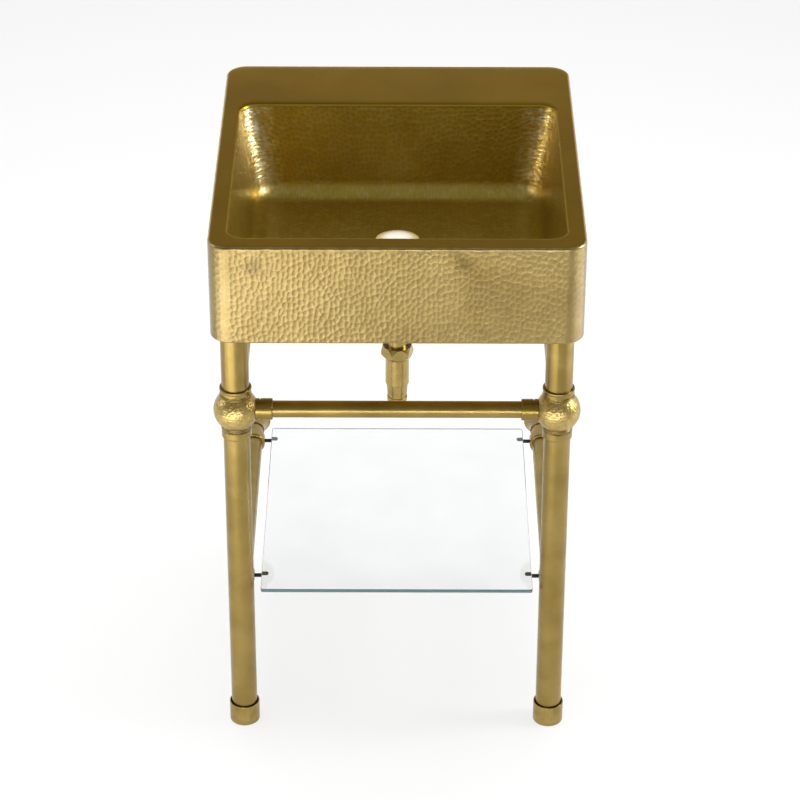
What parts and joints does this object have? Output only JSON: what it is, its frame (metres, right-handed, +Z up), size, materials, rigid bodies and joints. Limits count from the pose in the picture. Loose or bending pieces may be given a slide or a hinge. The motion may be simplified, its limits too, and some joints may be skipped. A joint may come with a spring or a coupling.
{
  "type": "console vanity",
  "caption": "Hammered brass apron-front sink on a two-legged tube console with ball fittings, crossbar, wall rails, levelling feet and a clear glass shelf on pins.",
  "frame": {"origin": "on the floor, under the middle of the sink's plan", "axes": "+X to the right as seen from the front, +Y to the wall, +Z up"},
  "size_m": [0.5418, 0.6096, 0.886],
  "materials": {
    "basin_brass": "aged satin, hammered inside the basin and smooth on the rim",
    "apron_brass": "hand hammered satin",
    "polished_brass": "polished",
    "hammered_ball_brass": "hammered satin",
    "satin_brass": "brushed satin, aged",
    "foot_brass": "satin",
    "drain_brass": "aged satin",
    "zinc_steel": "zinc plated",
    "painted_steel": "powder coated",
    "black_sleeve": "matt",
    "seal_rubber": "matt",
    "clear_glass": "clear, polished edges"
  },
  "bodies": {
    "stand": {"crossbar": "satin_brass", "drain_body": "drain_brass", "drain_gasket": "seal_rubber", "drain_locknut": "drain_brass", "drain_washer": "drain_brass", "flange_set_screws": "zinc_steel", "front_left_pin_sleeve": "black_sleeve", "front_left_shelf_collar": "satin_brass", "front_left_shelf_pin": "zinc_steel", "front_right_pin_sleeve": "black_sleeve", "front_right_shelf_collar": "satin_brass", "front_right_shelf_pin": "zinc_steel", "left_ball_fitting": "hammered_ball_brass", "left_crossbar_collar": "satin_brass", "left_leg_top_flange": "satin_brass", "left_leveller_insert": "zinc_steel", "left_lower_leg_tube": "satin_brass", "left_lower_wall_flange": "satin_brass", "left_shelf_rail": "satin_brass", "left_upper_leg_tube": "satin_brass", "left_upper_rail": "satin_brass", "left_upper_rail_collar": "satin_brass", "left_upper_wall_flange": "satin_brass", "outlet_reducer": "drain_brass", "outlet_socket": "drain_brass", "rear_left_pin_sleeve": "black_sleeve", "rear_left_shelf_collar": "satin_brass", "rear_left_shelf_pin": "zinc_steel", "rear_right_pin_sleeve": "black_sleeve", "rear_right_shelf_collar": "satin_brass", "rear_right_shelf_pin": "zinc_steel", "right_ball_fitting": "hammered_ball_brass", "right_crossbar_collar": "satin_brass", "right_leg_top_flange": "satin_brass", "right_leveller_insert": "zinc_steel", "right_lower_leg_tube": "satin_brass", "right_lower_wall_flange": "satin_brass", "right_shelf_rail": "satin_brass", "right_upper_leg_tube": "satin_brass", "right_upper_rail": "satin_brass", "right_upper_rail_collar": "satin_brass", "right_upper_wall_flange": "satin_brass", "sink_apron": "apron_brass", "sink_bowl": "basin_brass", "sink_nuts": "zinc_steel", "sink_screws": "zinc_steel", "slip_nut": "drain_brass", "slip_washer": "seal_rubber", "tailpiece": "drain_brass", "wall_cleat": "painted_steel"},
    "drain_stopper": {"drain_cap": "polished_brass", "drain_cap_seal": "seal_rubber", "drain_stem": "satin_brass"},
    "left_foot": {"left_foot_ferrule": "foot_brass", "left_leveller_stud": "zinc_steel"},
    "right_foot": {"right_foot_ferrule": "foot_brass", "right_leveller_stud": "zinc_steel"},
    "shelf": {"glass_shelf": "clear_glass"}
  },
  "joints": [
    {"name": "stopper_lift", "type": "slide", "parent": "stand", "child": "drain_stopper", "axis": [0, 0, 1], "range_m": [0, 0.01]},
    {"name": "left_foot_level", "type": "slide", "parent": "stand", "child": "left_foot", "axis": [0, 0, 1], "range_m": [0, 0.012]},
    {"name": "right_foot_level", "type": "slide", "parent": "stand", "child": "right_foot", "axis": [0, 0, 1], "range_m": [0, 0.012]},
    {"name": "shelf_lift", "type": "slide", "parent": "stand", "child": "shelf", "axis": [0, 0, 1], "range_m": [0, 0.06]}
  ]
}
